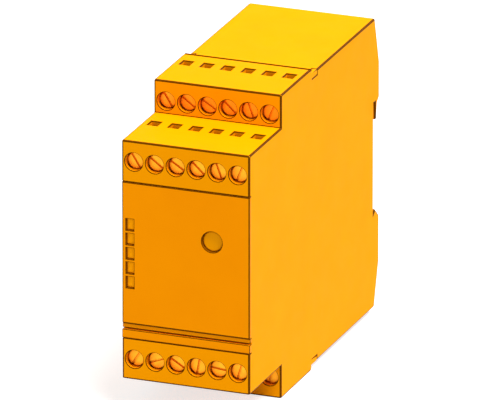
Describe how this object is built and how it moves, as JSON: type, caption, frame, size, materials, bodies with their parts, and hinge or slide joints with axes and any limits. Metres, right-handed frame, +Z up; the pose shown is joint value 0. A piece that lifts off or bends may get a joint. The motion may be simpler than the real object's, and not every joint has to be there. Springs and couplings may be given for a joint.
{
  "type": "safety relay",
  "caption": "Rail-mounted safety relay with stepped terminal tiers, status lenses, recessed reset button and a sprung rail latch.",
  "frame": {"origin": "middle of the face that sits on the rail, level with the rail's centre line", "axes": "+Y into the rail, +Z up, +X to the right when the front is looked at"},
  "size_m": [0.045, 0.1217, 0.1065],
  "materials": {
    "housing_plastic": "fine moulded matt amber plastic",
    "panel_plastic": "fine moulded matt amber plastic",
    "lens_plastic": "clear amber light guide, smooth",
    "button_plastic": "smooth amber plastic",
    "terminal_plastic": "matt amber insulating plastic",
    "cage_steel": "zinc-plated",
    "screw_steel": "yellow passivated zinc",
    "contact_brass": "tin-plated",
    "board_laminate": "green solder mask",
    "black_plastic": "matt black",
    "relay_plastic": "smooth light grey",
    "led_resin": "milky resin",
    "plunger_plastic": "natural plastic",
    "latch_plastic": "matt dark grey",
    "spring_steel": "bright strip",
    "core_iron": "varnished laminations",
    "bobbin_plastic": "natural plastic",
    "winding_copper": "taped copper winding",
    "capacitor_sleeve": "dark sleeve over aluminium",
    "fuse_plastic": "dark brown"
  },
  "bodies": {
    "housing": {"front_housing": "housing_plastic", "rear_housing": "housing_plastic", "panel_carrier": "panel_plastic", "front_cover": "panel_plastic", "status_lens_1": "lens_plastic", "status_lens_2": "lens_plastic", "status_lens_3": "lens_plastic", "status_lens_4": "lens_plastic", "status_lens_5": "lens_plastic", "reset_switch": "black_plastic", "status_leds": "led_resin", "latch_spring": "spring_steel", "upper_front_terminal_block": "terminal_plastic", "upper_front_clamp_cages": "cage_steel", "upper_front_terminal_screws": "screw_steel", "upper_front_contact_bars": "contact_brass", "upper_rear_terminal_block": "terminal_plastic", "upper_rear_clamp_cages": "cage_steel", "upper_rear_terminal_screws": "screw_steel", "upper_rear_contact_bars": "contact_brass", "lower_front_terminal_block": "terminal_plastic", "lower_front_clamp_cages": "cage_steel", "lower_front_terminal_screws": "screw_steel", "lower_front_contact_bars": "contact_brass", "lower_rear_terminal_block": "terminal_plastic", "lower_rear_clamp_cages": "cage_steel", "lower_rear_terminal_screws": "screw_steel", "lower_rear_contact_bars": "contact_brass", "upper_terminal_board": "board_laminate", "lower_terminal_board": "board_laminate", "main_board": "board_laminate", "relay_board": "board_laminate", "display_board": "board_laminate", "display_plug": "black_plastic", "board_headers": "black_plastic", "logic_chips": "black_plastic", "safety_relay_1": "relay_plastic", "safety_relay_2": "relay_plastic", "safety_relay_3": "relay_plastic", "transformer_core": "core_iron", "transformer_bobbin": "bobbin_plastic", "transformer_winding": "winding_copper", "smoothing_capacitors": "capacitor_sleeve", "input_fuse": "fuse_plastic"},
    "reset_button": {"reset_button": "button_plastic", "switch_plunger": "plunger_plastic"},
    "rail_latch": {"rail_latch": "latch_plastic"}
  },
  "joints": [
    {"name": "reset_press", "type": "slide", "parent": "housing", "child": "reset_button", "axis": [0, 1, 0], "range_m": [0, 0.0007], "stiffness_N_per_m": 1200, "springref_m": -0.0007},
    {"name": "latch_slide", "type": "slide", "parent": "housing", "child": "rail_latch", "axis": [0, 0, -1], "range_m": [0, 0.003], "stiffness_N_per_m": 2500, "springref_m": -0.002, "deforming": ["latch_spring"]}
  ]
}
